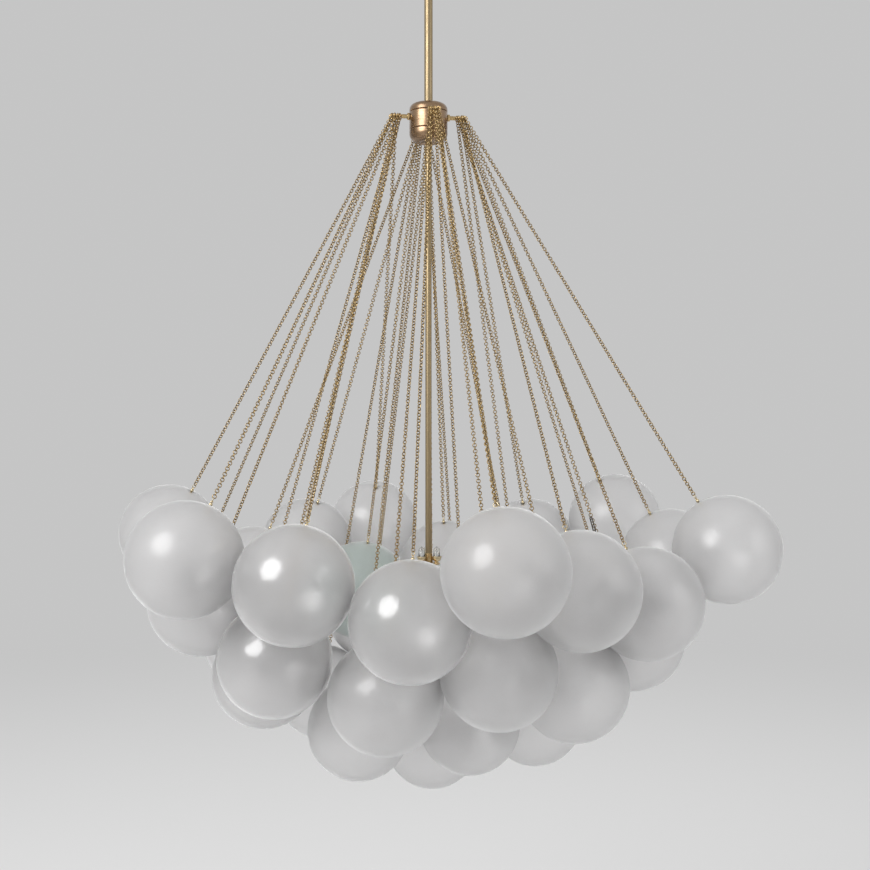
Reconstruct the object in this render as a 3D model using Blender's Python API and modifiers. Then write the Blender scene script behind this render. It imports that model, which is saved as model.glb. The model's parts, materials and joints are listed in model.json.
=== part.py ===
"""Glass globe chandelier: frosted globes on chains, hung in a bowl-shaped cluster from four short arms.

Metres, +Z up. The origin is the middle of the ceiling bracket's top face, and the chandelier hangs below it.
Seen along +Y, with +X to the right, it stands as in the photograph.
"""
from math import asin, atan2, cos, hypot, pi, radians, sin

import bmesh
import bpy
import numpy as np
from mathutils import Matrix, Vector

# Ceiling bracket: a flat bar with two slots for the ceiling screws, and a boss that the stem screws into
bracket_length = 0.100
bracket_width = 0.022
bracket_thickness = 0.003
slot_length = 0.020
slot_width = 0.0056
slot_spacing = 0.070
boss_radius = 0.010
boss_height = 0.012
stem_engagement = 0.008

# Canopy: a shallow spun dish over the bracket, with a collar that grips the stem
canopy_radius = 0.065
canopy_height = 0.026
canopy_wall = 0.0015
canopy_corner = 0.010
canopy_collar_radius = 0.011
canopy_collar_height = 0.012

# Stems: a thick one from the ceiling to the hub, and a thin one from the hub down to the lamps
upper_stem_radius = 0.006
upper_stem_length = 0.300
lower_stem_radius = 0.0045
lower_stem_length = 0.5985

# Hub: a turned brass drum in three pieces
hub_radius = 0.0275
hub_top_height = 0.0124
hub_band_height = 0.0252
hub_bottom_height = 0.0184
hub_shoulder = 0.005
hub_dome = 0.013
groove_depth = 0.0008
stem_socket_depth = 0.008

# Arms: four short rods out of the hub's band, each with a flat ring at its tip
arm_radius = 0.003
arm_drop = 0.0066
arm_reach = 0.0465
arm_turn_degrees = 9.0
arm_socket_depth = 0.010
arm_collar_radius = 0.005
arm_collar_width = 0.003
ring_radius = 0.0070
ring_wire = 0.0012

# Chains: each hangs from its arm's ring, and ends in a ball, a neck and a toggle that holds the globe
chain_radius = 0.0013
link_radius = 0.0030
link_wire = 0.0008
ball_radius = 0.0025
neck_radius = 0.0015
toggle_radius = 0.0045
toggle_thickness = 0.0015
toggle_gap = 0.0009
chain_spacing = 0.0031
link_spacing = 0.0042

# Globes: blown glass, etched outside, with a small hole for the hanger
globe_radius = 0.075
glass_wall = 0.003
globe_hole_radius = 0.003
globe_drop = 0.608

# Lamps: a sleeve on the stem's end with a plate under it, and three cup-shaped lampholders that stand on the plate
lamp_sleeve_radius = 0.0062
lamp_sleeve_height = 0.014
lamp_plate_radius = 0.0165
lamp_plate_thickness = 0.002
lamp_nut_radius = 0.005
lamp_nut_height = 0.007
cup_reach = 0.0125
cup_turn_degrees = -20.0
cup_radius = 0.0072
cup_rim = 0.0018
cup_neck_radius = 0.0060
cup_base_radius = 0.0045
cup_height = 0.010
cup_socket_radius = 0.0052
cup_socket_depth = 0.006
bulb_radius = 0.0048
bulb_length = 0.014

# Clearance between pieces that touch, and how far a cutter runs past what it cuts
clearance = 0.0003
overrun = 0.002

# How the globes settle: outer globes give way less than inner ones
outer_ease = 0.25
least_grip = 0.3
settle_rate = 0.6
pull_rate = 0.02
pull_rounds = 900
settle_rounds = 2500

# How finely round pieces are divided
globe_steps = 10
globe_arcs = 6
chain_steps = 4
ring_steps = 12
link_steps = 8
wire_steps = 5
round_steps = 16
small_steps = 12
arm_steps = 8
bulb_steps = 8

# The globes, in the four groups that are hung one after another: the places of their centres, in globe radii, to
# the right of the stem, behind it and below the top row, and the arm whose ring carries the chain. An outer globe
# that swings has its own chain, and an inner one gives way to the others.
globe_shares = {
    "front": [
        ((1.20, -4.85, 0.10), "swings", "front"),
        ((1.20, -2.90, 1.95), "outer", "front"),
        ((5.30, -1.05, 0.20), "swings", "right"),
        ((3.90, -0.15, 1.80), "outer", "right"),
        ((-5.30, 1.45, 0.00), "swings", "left"),
        ((-4.10, -1.20, 1.00), "outer", "left"),
        ((-4.05, -2.95, 0.10), "swings", "left"),
        ((-0.70, -2.60, 2.45), "outer", "front"),
        ((-0.25, -3.85, 1.00), "outer", "front"),
        ((0.07, 2.53, 4.49), "outer", "back"),
    ],
    "right": [
        ((3.95, 2.15, 2.00), "inner", "right"),
        ((1.55, 1.00, 1.60), "inner", "front"),
        ((2.10, 3.40, 2.40), "inner", "back"),
        ((2.25, 3.90, 0.45), "outer", "right"),
        ((0.55, 5.10, 1.30), "swings", "back"),
        ((2.50, -3.45, 0.55), "outer", "right"),
        ((2.60, -1.60, 2.45), "outer", "front"),
        ((3.85, -2.00, 0.95), "outer", "right"),
        ((2.21, 2.27, 3.90), "outer", "right"),
    ],
    "back": [
        ((-2.73, 3.67, 0.40), "swings", "back"),
        ((-5.10, 3.20, 1.00), "swings", "left"),
        ((-3.50, 0.70, 0.80), "outer", "back"),
        ((-1.35, 0.30, 3.70), "outer", "back"),
        ((4.95, 0.90, 0.45), "outer", "right"),
        ((4.05, 3.30, -0.15), "swings", "right"),
        ((0.85, 0.80, 3.72), "outer", "front"),
        ((0.35, 3.00, 0.85), "outer", "back"),
    ],
    "left": [
        ((-1.30, 3.70, 2.00), "inner", "back"),
        ((-2.65, -2.25, 1.90), "outer", "left"),
        ((-2.15, -3.55, 0.45), "outer", "left"),
        ((-1.30, 5.10, 0.05), "outer", "left"),
        ((-1.40, 1.85, 1.20), "inner", "back"),
        ((-2.34, 3.33, 3.57), "inner", "back"),
        ((-3.75, 2.40, 2.35), "outer", "left"),
        ((-3.10, -0.25, 2.55), "outer", "left"),
    ],
}
arm_order = ["right", "back", "left", "front"]

# Heights that follow from the sizes above
up = Vector((0, 0, 1))
stem_top_z = -(bracket_thickness + boss_height - stem_engagement)
canopy_base_z = -canopy_height
hub_top_z = canopy_base_z - canopy_collar_height - upper_stem_length
band_top_z = hub_top_z - hub_top_height
band_base_z = band_top_z - hub_band_height
hub_base_z = band_base_z - hub_bottom_height
arm_z = band_top_z - arm_drop
stem_end_z = hub_base_z - lower_stem_length
plate_top_z = stem_end_z + stem_socket_depth - lamp_sleeve_height
plate_base_z = plate_top_z - lamp_plate_thickness
cup_top_z = plate_top_z + cup_height
bulb_top_z = cup_top_z + bulb_length
lamp_reach = cup_reach + cup_radius

for item in list(bpy.data.objects):
    bpy.data.objects.remove(item, do_unlink=True)

parts = bpy.data.collections.new("glass_globe_chandelier")
cutters = bpy.data.collections.new("cutters")
bpy.context.scene.collection.children.link(parts)
bpy.context.scene.collection.children.link(cutters)


def material(name, colour, roughness, metallic):
    """A Principled material."""
    made = bpy.data.materials.new(name)
    made.use_nodes = True
    shader = made.node_tree.nodes["Principled BSDF"]
    shader.inputs["Base Color"].default_value = (*colour, 1.0)
    shader.inputs["Roughness"].default_value = roughness
    shader.inputs["Metallic"].default_value = metallic
    return made


def finish(item, name, colour, roughness, metallic, collection=None):
    """Names an object, gives it its own material, and puts it in its collection."""
    item.name = name
    item.data.name = name
    item.data.materials.clear()
    item.data.materials.append(material(name, colour, roughness, metallic))
    for old in list(item.users_collection):
        old.objects.unlink(item)
    (collection or parts).objects.link(item)
    return item


def as_cutter(item, name):
    """Puts a cutting or joining shape with the cutters, where it isn't built or rendered."""
    item.name = name
    item.data.name = name
    for old in list(item.users_collection):
        old.objects.unlink(item)
    cutters.objects.link(item)
    item.hide_render = True
    item.display_type = "WIRE"
    return item


def brass(item, name):
    return finish(item, name, (0.46, 0.34, 0.19), 0.32, 1.0)


def turned(profile, steps, closed=False):
    """A turned solid: a profile of (radius, height) points with a Screw modifier."""
    mesh = bpy.data.meshes.new("profile")
    edges = [(i, i + 1) for i in range(len(profile) - 1)]
    if closed:
        edges.append((len(profile) - 1, 0))
    mesh.from_pydata([(r, 0, z) for r, z in profile], edges, [])
    item = bpy.data.objects.new("turned", mesh)
    parts.objects.link(item)
    screw = item.modifiers.new("turn", "SCREW")
    screw.angle = 2 * pi
    screw.steps = steps
    screw.render_steps = steps
    screw.use_merge_vertices = True
    screw.merge_threshold = clearance / 10
    screw.use_smooth_shade = True
    return item


def arc(centre_r, centre_z, radius, start, end, count):
    """Points on an arc of a turned profile, from one angle to another, in degrees up from the radius."""
    angles = [radians(start + (end - start) * i / count) for i in range(count + 1)]
    return [(centre_r + radius * cos(a), centre_z + radius * sin(a)) for a in angles]


def boolean(item, other, operation):
    step = item.modifiers.new(operation.lower(), "BOOLEAN")
    step.operation = operation
    step.solver = "EXACT"
    step.object = other
    return step


def cylinder(radius, height, steps):
    """A cylinder along Z, centred on the origin."""
    mesh = bpy.data.meshes.new("cylinder")
    shape = bmesh.new()
    bmesh.ops.create_cone(
        shape, cap_ends=True, segments=steps, radius1=radius, radius2=radius, depth=height)
    shape.to_mesh(mesh)
    shape.free()
    return bpy.data.objects.new("cylinder", mesh)


def box(length, width, height):
    """A box centred on the origin."""
    mesh = bpy.data.meshes.new("box")
    shape = bmesh.new()
    bmesh.ops.create_cube(shape, size=1)
    bmesh.ops.scale(shape, vec=(length, width, height), verts=shape.verts)
    shape.to_mesh(mesh)
    shape.free()
    return bpy.data.objects.new("box", mesh)


def torus(radius, wire, steps, wire_steps):
    bpy.ops.mesh.primitive_torus_add(
        major_radius=radius, minor_radius=wire, major_segments=steps, minor_segments=wire_steps)
    return bpy.context.object


def frame_of(x_axis, y_axis, z_axis, origin):
    """The matrix of a frame with these axes and origin."""
    turn = Matrix((x_axis, y_axis, z_axis)).transposed().to_4x4()
    turn.translation = origin
    return turn


def make_bracket():
    """The bar that is screwed to the ceiling, with its threaded boss."""
    bar = box(bracket_length, bracket_width, bracket_thickness)
    bar.location = (0, 0, -bracket_thickness / 2)
    finish(bar, "ceiling_bracket", (0.55, 0.55, 0.53), 0.45, 1.0)
    boss = cylinder(boss_radius, boss_height + bracket_thickness / 2, small_steps)
    boss.location = (0, 0, -bracket_thickness - boss_height / 2 + bracket_thickness / 4)
    boolean(bar, as_cutter(boss, "bracket_boss"), "UNION")
    thread_depth = stem_engagement + clearance
    thread = cylinder(upper_stem_radius + clearance, thread_depth + overrun, small_steps)
    thread.location = (0, 0, -bracket_thickness - boss_height + (thread_depth - overrun) / 2)
    boolean(bar, as_cutter(thread, "bracket_thread"), "DIFFERENCE")
    for side in (-1, 1):
        slot = box(slot_length, slot_width, bracket_thickness + 2 * overrun)
        slot.location = (side * slot_spacing / 2, 0, -bracket_thickness / 2)
        boolean(bar, as_cutter(slot, f"bracket_slot_{'left' if side < 0 else 'right'}"), "DIFFERENCE")


def make_canopy():
    """The spun dish that hides the bracket, and the collar under it."""
    hole = upper_stem_radius + clearance
    inner_corner = canopy_corner - canopy_wall
    outside = [(canopy_radius, 0)]
    outside += arc(canopy_radius - canopy_corner, canopy_base_z + canopy_corner, canopy_corner, 0, -90, 3)
    outside += [
        (canopy_collar_radius, canopy_base_z),
        (canopy_collar_radius, canopy_base_z - canopy_collar_height),
        (hole, canopy_base_z - canopy_collar_height),
        (hole, canopy_base_z + canopy_wall),
    ]
    inside = arc(canopy_radius - canopy_corner, canopy_base_z + canopy_corner, inner_corner, -90, 0, 2)
    inside += [(canopy_radius - canopy_wall, 0)]
    brass(turned(outside + inside, round_steps, closed=True), "canopy")


def make_stems():
    upper_base_z = band_top_z - stem_socket_depth + clearance
    upper = [
        (0, stem_top_z), (upper_stem_radius, stem_top_z), (upper_stem_radius, upper_base_z), (0, upper_base_z)]
    brass(turned(upper, small_steps), "upper_stem")
    lower_top_z = band_base_z + stem_socket_depth - clearance
    lower = [
        (0, lower_top_z), (lower_stem_radius, lower_top_z), (lower_stem_radius, stem_end_z), (0, stem_end_z)]
    brass(turned(lower, small_steps), "lower_stem")


def make_hub():
    """The drum at the top: a cap with a rounded shoulder, a band that holds the arms, and a domed base."""
    upper_hole = upper_stem_radius + clearance
    lower_hole = lower_stem_radius + clearance
    cap_base_z = band_top_z + clearance
    cap = [(upper_hole, hub_top_z)]
    cap += arc(hub_radius - hub_shoulder, hub_top_z - hub_shoulder, hub_shoulder, 90, 0, 3)
    cap += [
        (hub_radius, cap_base_z + groove_depth),
        (hub_radius - groove_depth, cap_base_z),
        (upper_hole, cap_base_z),
    ]
    brass(turned(cap, round_steps, closed=True), "hub_top_cap")

    band = [
        (0, band_top_z),
        (hub_radius - groove_depth, band_top_z),
        (hub_radius, band_top_z - groove_depth),
        (hub_radius, band_base_z + groove_depth),
        (hub_radius - groove_depth, band_base_z),
        (0, band_base_z),
    ]
    body = brass(turned(band, round_steps), "hub_body")
    for name, radius, face_z, inward in (
        ("upper_stem_socket", upper_hole, band_top_z, -1),
        ("lower_stem_socket", lower_hole, band_base_z, 1),
    ):
        socket = cylinder(radius, stem_socket_depth + overrun, small_steps)
        socket.location = (0, 0, face_z + inward * (stem_socket_depth - overrun) / 2)
        boolean(body, as_cutter(socket, name), "DIFFERENCE")
    for index, arm in enumerate(arm_order):
        turn = radians(arm_turn_degrees + 90 * index)
        out = Vector((cos(turn), sin(turn), 0))
        side = up.cross(out)
        socket = cylinder(arm_radius + clearance, arm_socket_depth + overrun, arm_steps)
        reach = hub_radius - (arm_socket_depth - overrun) / 2
        socket.matrix_world = frame_of(side, up, out, out * reach + up * arm_z)
        boolean(body, as_cutter(socket, f"{arm}_arm_socket"), "DIFFERENCE")

    base_top_z = band_base_z - clearance
    dome_z = hub_base_z + hub_dome
    base = [(lower_hole, base_top_z), (hub_radius - groove_depth, base_top_z)]
    base += [(hub_radius, base_top_z - groove_depth)]
    base += arc(hub_radius - hub_dome, dome_z, hub_dome, 0, -90, 4)
    base += [(lower_hole, hub_base_z)]
    brass(turned(base, round_steps, closed=True), "hub_bottom_cap")


def make_lamps():
    """The plate on the stem's end with its three lampholders, and a capsule bulb in each."""
    hole = lower_stem_radius + clearance
    sleeve_top_z = plate_top_z + lamp_sleeve_height
    socket_z = stem_end_z - clearance
    nut_base_z = plate_base_z - lamp_nut_height
    profile = [
        (0, socket_z),
        (hole, socket_z),
        (hole, sleeve_top_z),
        (lamp_sleeve_radius, sleeve_top_z),
        (lamp_sleeve_radius, plate_top_z),
        (lamp_plate_radius, plate_top_z),
        (lamp_plate_radius, plate_base_z),
        (lamp_nut_radius, plate_base_z),
    ]
    profile += arc(0, nut_base_z + lamp_nut_radius, lamp_nut_radius, 0, -90, 2)
    profile[-1] = (0, nut_base_z)
    cluster = brass(turned(profile, round_steps), "lamp_cluster")
    for index in range(3):
        turn = radians(cup_turn_degrees + 120 * index)
        place = Vector((cup_reach * cos(turn), cup_reach * sin(turn), 0))
        outline = [
            (0, cup_top_z),
            (cup_radius, cup_top_z),
            (cup_radius, cup_top_z - cup_rim),
            (cup_neck_radius, cup_top_z - cup_rim),
            (cup_base_radius, plate_top_z),
            (cup_base_radius, plate_top_z - lamp_plate_thickness / 2),
            (0, plate_top_z - lamp_plate_thickness / 2),
        ]
        cup = as_cutter(turned(outline, small_steps), f"lamp_cup_{index + 1}")
        cup.location = place
        boolean(cluster, cup, "UNION")
        socket = cylinder(cup_socket_radius, cup_socket_depth + overrun, small_steps)
        socket.location = place + up * (cup_top_z - (cup_socket_depth - overrun) / 2)
        boolean(cluster, as_cutter(socket, f"lamp_socket_{index + 1}"), "DIFFERENCE")

        bulb_base_z = cup_top_z - cup_socket_depth + clearance
        glass = arc(0, bulb_top_z - bulb_radius, bulb_radius, 90, 0, 3)
        glass[0] = (0, bulb_top_z)
        glass += [(bulb_radius, bulb_base_z), (0, bulb_base_z)]
        bulb = turned(glass, bulb_steps)
        bulb.location = place
        finish(bulb, f"bulb_{index + 1}", (0.95, 0.93, 0.86), 0.15, 0.0)


def nearest(p, u, q, v):
    """The nearest points of pairs of segments p to p+u and q to q+v, as shares of their lengths."""
    tiny = 1e-12
    between = p - q
    uu = np.maximum((u * u).sum(1), tiny)
    vv = np.maximum((v * v).sum(1), tiny)
    uv = (u * v).sum(1)
    ub = (u * between).sum(1)
    vb = (v * between).sum(1)
    spread = uu * vv - uv * uv
    s = np.where(spread > tiny, np.clip((uv * vb - ub * vv) / np.maximum(spread, tiny), 0, 1), 0.0)
    t = np.clip((uv * s + vb) / vv, 0, 1)
    s = np.clip((uv * t - ub) / uu, 0, 1)
    return s, t


def settle(centres, hooks, arms, states):
    """Moves the globes apart by the least that clears them of each other, of the chains and of the stem.

    Each globe is a ball and each chain a straight rod from its hook to its globe. A rod that is in the way
    moves with its globe. Until the last rounds, a weak pull draws each globe back to its chosen place.
    """
    swings = [state == "swings" for state in states]
    ease = np.array([1.0 if state == "inner" else outer_ease for state in states] + [0.0])
    count = len(centres)
    chosen = centres.copy()
    lamp_top = np.array([0.0, 0.0, bulb_top_z])
    lamp_drop = np.array([0.0, 0.0, plate_base_z - lamp_nut_height - bulb_top_z])
    stem_top = np.array([0.0, 0.0, hub_base_z])
    radii = np.concatenate([
        np.full(count, globe_radius), np.full(count, chain_radius), [lower_stem_radius, lamp_reach]])
    first, second = np.triu_indices(2 * count + 2, 1)
    keep = []
    for i, j in zip(first, second):
        own = j == i + count
        fixed = i >= 2 * count
        same_arm = count <= i < 2 * count and j < 2 * count and arms[i - count] == arms[j - count]
        fused = same_arm and not (swings[i - count] or swings[j - count])
        keep.append(not (own or fixed or fused))
    first, second = first[keep], second[keep]
    owner = np.concatenate([np.arange(count), np.arange(count), [count, count]])
    room = radii[first] + radii[second] + 2 * clearance
    for turn in range(settle_rounds):
        rods = centres - hooks
        lengths = np.linalg.norm(rods, axis=1, keepdims=True)
        rods = rods * (1 - globe_radius / lengths)
        starts = np.concatenate([centres, hooks, [stem_top, lamp_top]])
        runs = np.concatenate([np.zeros((count, 3)), rods, [lamp_top - stem_top, lamp_drop]])
        s, t = nearest(starts[first], runs[first], starts[second], runs[second])
        apart = starts[first] + runs[first] * s[:, None] - starts[second] - runs[second] * t[:, None]
        distance = np.maximum(np.linalg.norm(apart, axis=1), clearance)
        depth = room - distance
        hit = depth > 0
        if turn > pull_rounds and depth.max() < clearance / 2:
            break
        i, j = first[hit], second[hit]
        grip_i = ease[owner[i]] * np.where(i < count, 1.0, np.maximum(s[hit], least_grip))
        grip_j = ease[owner[j]] * np.where(j < count, 1.0, np.maximum(t[hit], least_grip))
        amount = settle_rate * depth[hit] / (grip_i + grip_j) / distance[hit]
        push = np.zeros((count + 1, 3))
        np.add.at(push, owner[i], apart[hit] * (amount * grip_i)[:, None])
        np.add.at(push, owner[j], -apart[hit] * (amount * grip_j)[:, None])
        centres = centres + push[:count]
        if turn < pull_rounds:
            centres += pull_rate * (chosen - centres)
    return centres


def hook_angles(directions, leans, states):
    """Where each chain sits round its arm's ring: a chain that swings faces its globe.

    The others follow, the widest lean first, each at the free place that is nearest to its own direction.
    """
    order = sorted(range(len(leans)), key=lambda i: (states[i] != "swings", -leans[i]))
    angles = {}
    for i in order:
        best = None
        for step in range(360):
            turn = radians(step // 2 if step % 2 else -(step // 2))
            free = True
            for j, other in angles.items():
                swing = "swings" in (states[i], states[j])
                space = (link_spacing if swing else chain_spacing) / ring_radius
                apart = abs((directions[i] + turn - other + pi) % (2 * pi) - pi)
                free = free and apart >= space
            if free and best is None:
                best = directions[i] + turn
        angles[i] = directions[i] if best is None else best
    return [angles[i] for i in range(len(leans))]


def lay_out():
    """The globes' centres, and the hooks of their chains on the arms' rings."""
    names, arms, states, centres = [], [], [], []
    for group, globes in globe_shares.items():
        for number, ((right, behind, below), state, arm) in enumerate(globes, 1):
            drop = globe_drop + below * globe_radius
            names.append(f"{group}_{number}")
            arms.append(arm)
            states.append(state)
            centres.append(Vector((right * globe_radius, behind * globe_radius, arm_z - drop)))
    hooks = [None] * len(names)
    for index, arm in enumerate(arm_order):
        turn = radians(arm_turn_degrees + 90 * index)
        middle = Vector((arm_reach * cos(turn), arm_reach * sin(turn), arm_z))
        own = [i for i, owner in enumerate(arms) if owner == arm]
        runs = [centres[i] - middle for i in own]
        directions = [atan2(run.y, run.x) for run in runs]
        leans = [atan2(hypot(run.x, run.y), -run.z) for run in runs]
        angles = hook_angles(directions, leans, [states[i] for i in own])
        for i, angle in zip(own, angles):
            hooks[i] = middle + Vector((cos(angle), sin(angle), 0)) * ring_radius
    centres = settle(np.array(centres), np.array(hooks), arms, states)
    return names, arms, states, [Vector(c) for c in centres], hooks


def make_globe(name):
    """A hollow glass globe with a hole at the top for its hanger."""
    inner_radius = globe_radius - glass_wall
    top = asin(globe_hole_radius / globe_radius)
    angles = [top + (pi - top) * i / globe_arcs for i in range(globe_arcs)]
    outside = [(globe_radius * sin(a), globe_radius * cos(a)) for a in angles] + [(0, -globe_radius)]
    inside = [(inner_radius * sin(a), inner_radius * cos(a)) for a in angles] + [(0, -inner_radius)]
    globe = turned(inside[::-1] + outside, globe_steps)
    return finish(globe, f"globe_{name}", (0.90, 0.91, 0.90), 0.45, 0.0)


def strand_profile(top, length):
    """A chain and its hanger, from its top down to the toggle in the globe, as a turned profile.

    length runs from the hook to the globe's centre.
    """
    surface = length - globe_radius
    ball = surface - ball_radius
    wide = ball_radius / 2
    toggle = surface + glass_wall + toggle_gap
    return [
        (0, -top),
        (chain_radius, -top),
        (chain_radius, -(ball - ball_radius)),
        (ball_radius, -(ball - wide)),
        (ball_radius, -(ball + wide)),
        (neck_radius, -surface),
        (neck_radius, -toggle),
        (toggle_radius, -toggle),
        (0, -(toggle + toggle_thickness)),
    ]


def chain_frame(hook, centre):
    """A frame at the hook with -Z along the chain and Y the level axis that the chain swings about."""
    along = (hook - centre).normalized()
    outward = Vector((centre.x - hook.x, centre.y - hook.y, 0)).normalized()
    axis = outward.cross(up)
    return frame_of(axis.cross(along), axis, along, hook)


def make_cluster():
    """The arms with their chains, the chains that swing by themselves, and all the globes."""
    names, arms, states, centres, hooks = lay_out()
    link_drop = link_radius - link_wire - ring_wire - clearance
    for index, arm in enumerate(arm_order):
        turn = radians(arm_turn_degrees + 90 * index)
        out = Vector((cos(turn), sin(turn), 0))
        side = up.cross(out)
        socket = hub_radius - arm_socket_depth + clearance
        tip = arm_reach - ring_radius
        collar = hub_radius + clearance
        rod = turned([
            (0, tip), (arm_radius, tip),
            (arm_radius, collar + arm_collar_width), (arm_collar_radius, collar + arm_collar_width),
            (arm_collar_radius, collar), (arm_radius, collar),
            (arm_radius, socket), (0, socket)], arm_steps)
        brass(rod, f"{arm}_arm_chains")
        place = frame_of(side, up, out, up * arm_z)
        rod.matrix_world = place
        ring = torus(ring_radius, ring_wire, ring_steps, wire_steps)
        ring.location = out * arm_reach + up * arm_z
        boolean(rod, as_cutter(ring, f"{arm}_arm_ring"), "UNION")
        for name, owner, state, centre, hook in zip(names, arms, states, centres, hooks):
            if owner != arm or state == "swings":
                continue
            strand = turned(strand_profile(0, (hook - centre).length), chain_steps)
            strand.matrix_world = chain_frame(hook, centre)
            boolean(rod, as_cutter(strand, f"chain_{name}"), "UNION")

    for name, state, centre, hook in zip(names, states, centres, hooks):
        globe = make_globe(name)
        if state != "swings":
            globe.matrix_world = chain_frame(hook, centre)
            globe.location = centre
            continue
        # The top link is threaded on the arm's ring, and the chain turns about the link's middle
        pivot_frame = chain_frame(hook, centre)
        pivot = hook + (centre - hook).normalized() * link_drop
        pivot_frame.translation = pivot
        holder = bpy.data.objects.new(f"swing_{name}", None)
        parts.objects.link(holder)
        holder.matrix_world = pivot_frame
        reach = (pivot - centre).length
        strand = turned(strand_profile(link_radius, reach), chain_steps)
        brass(strand, f"chain_{name}")
        link = as_cutter(torus(link_radius, link_wire, link_steps, wire_steps), f"top_link_{name}")
        link.rotation_euler = (pi / 2, 0, 0)
        boolean(strand, link, "UNION")
        for piece in (strand, link, globe):
            piece.parent = holder
        globe.location = (0, 0, -reach)


make_bracket()
make_canopy()
make_stems()
make_hub()
make_lamps()
make_cluster()
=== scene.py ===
"""Glass globe chandelier: etched glass globes on brass chains, hung in a bowl-shaped cluster from four
short arms of a turned hub, around lamps on a central stem.

Metres, +Z up. The sections follow the order in which the light is put together, from the ceiling down.
"""
import json
import random
from math import asin, cos, pi, radians, sin

import bpy
import numpy as np
from mathutils import Matrix, Vector

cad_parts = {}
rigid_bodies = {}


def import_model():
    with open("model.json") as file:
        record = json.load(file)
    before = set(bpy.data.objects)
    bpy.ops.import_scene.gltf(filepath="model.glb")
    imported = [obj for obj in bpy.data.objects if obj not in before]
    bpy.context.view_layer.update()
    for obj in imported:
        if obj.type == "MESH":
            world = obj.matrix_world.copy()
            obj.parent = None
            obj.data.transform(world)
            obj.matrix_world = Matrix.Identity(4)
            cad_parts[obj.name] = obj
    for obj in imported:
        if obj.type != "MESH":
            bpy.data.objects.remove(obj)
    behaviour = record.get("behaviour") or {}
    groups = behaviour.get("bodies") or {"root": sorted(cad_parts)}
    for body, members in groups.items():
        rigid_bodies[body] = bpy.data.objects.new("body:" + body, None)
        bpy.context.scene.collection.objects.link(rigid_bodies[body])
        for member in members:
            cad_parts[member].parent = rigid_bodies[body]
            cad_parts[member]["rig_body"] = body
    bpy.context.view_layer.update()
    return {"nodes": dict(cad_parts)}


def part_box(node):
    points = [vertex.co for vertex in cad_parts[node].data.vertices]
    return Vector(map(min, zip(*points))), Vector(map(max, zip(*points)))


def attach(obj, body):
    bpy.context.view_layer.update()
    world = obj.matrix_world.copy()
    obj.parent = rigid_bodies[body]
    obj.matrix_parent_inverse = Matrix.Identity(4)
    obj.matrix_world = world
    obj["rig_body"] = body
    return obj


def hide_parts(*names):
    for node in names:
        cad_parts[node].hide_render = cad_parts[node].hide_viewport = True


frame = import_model()
nodes = frame["nodes"]


# Ceiling bracket
# A pressed steel bar, zinc plated, with a slot at each end for a ceiling screw. A threaded boss at its
# middle takes the stem. The solid already has its shape, so only the plating is made here.
zinc_grey = (0.50, 0.50, 0.46)
zinc_bright = (0.64, 0.64, 0.62)


def new_material(name):
    made = bpy.data.materials.new(name)
    made.use_nodes = True
    return made, made.node_tree, made.node_tree.nodes["Principled BSDF"]


def add_node(tree, kind, inputs=None, **settings):
    """A shader node. inputs gives each socket, by name or number, a value or the output that feeds it."""
    node = tree.nodes.new(f"ShaderNode{kind}")
    for key, value in settings.items():
        setattr(node, key, value)
    for key, value in (inputs or {}).items():
        if isinstance(value, bpy.types.NodeSocket):
            tree.links.new(value, node.inputs[key])
        else:
            node.inputs[key].default_value = value
    return node


def ramp(tree, factor, stops):
    """A Color Ramp over (place, colour) stops."""
    node = add_node(tree, "ValToRGB", {"Fac": factor})
    elements = node.color_ramp.elements
    while len(elements) < len(stops):
        elements.new(0.5)
    for element, (place, colour) in zip(elements, stops):
        element.position = place
        element.color = (*colour, 1)
    return node.outputs["Color"]


def zinc_plating():
    made, tree, shader = new_material("zinc_plating")
    place = add_node(tree, "TexCoord").outputs["Object"]
    crystals = add_node(tree, "TexVoronoi", {"Vector": place, "Scale": 900}).outputs["Distance"]
    cloud = add_node(tree, "TexNoise", {"Vector": place, "Scale": 60, "Detail": 6}).outputs["Fac"]
    blend = add_node(tree, "Math", {0: crystals, 1: cloud}, operation="MULTIPLY").outputs[0]
    colour = ramp(tree, blend, [(0.05, zinc_grey), (0.30, zinc_bright)])
    tree.links.new(colour, shader.inputs["Base Color"])
    dull = add_node(tree, "MapRange", {"Value": cloud, "To Min": 0.32, "To Max": 0.55}).outputs["Result"]
    tree.links.new(dull, shader.inputs["Roughness"])
    bump = add_node(tree, "Bump", {"Height": crystals, "Strength": 0.15, "Distance": 0.0002})
    tree.links.new(bump.outputs["Normal"], shader.inputs["Normal"])
    shader.inputs["Metallic"].default_value = 1
    return made


bracket = nodes["ceiling_bracket"]
bracket.data.materials.clear()
bracket.data.materials.append(zinc_plating())


# Canopy
# A shallow dish spun from brass sheet, which hides the bracket. A turned collar is brazed under it, and a
# small headless screw grips it on the stem. It is above the photograph's edge, so it is plain.
canopy_wall = 0.0015
canopy_corner = 0.010
collar_radius = 0.011
collar_height = 0.012
stem_gap = 0.0003
grub_radius = 0.0020
grub_socket = 0.0010
hub_brown = (0.12, 0.066, 0.030)
hub_rose = (0.37, 0.235, 0.130)
hub_lacquer = 0.8
lacquer_roughness = 0.22
brown_spots = (0.72, 0.62, 0.55)
turned_lines = (30, 30, 2600)
turned_roughness = 0.31
lathe_steps = 96
screw_steps = 24
on_axis = 0.000001


def arc(centre_r, centre_z, radius, start, end, count):
    """Points on an arc of a turned outline, in degrees up from the radius."""
    angles = [radians(start + (end - start) * i / count) for i in range(count + 1)]
    return [(centre_r + radius * cos(a), centre_z + radius * sin(a)) for a in angles]


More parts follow.
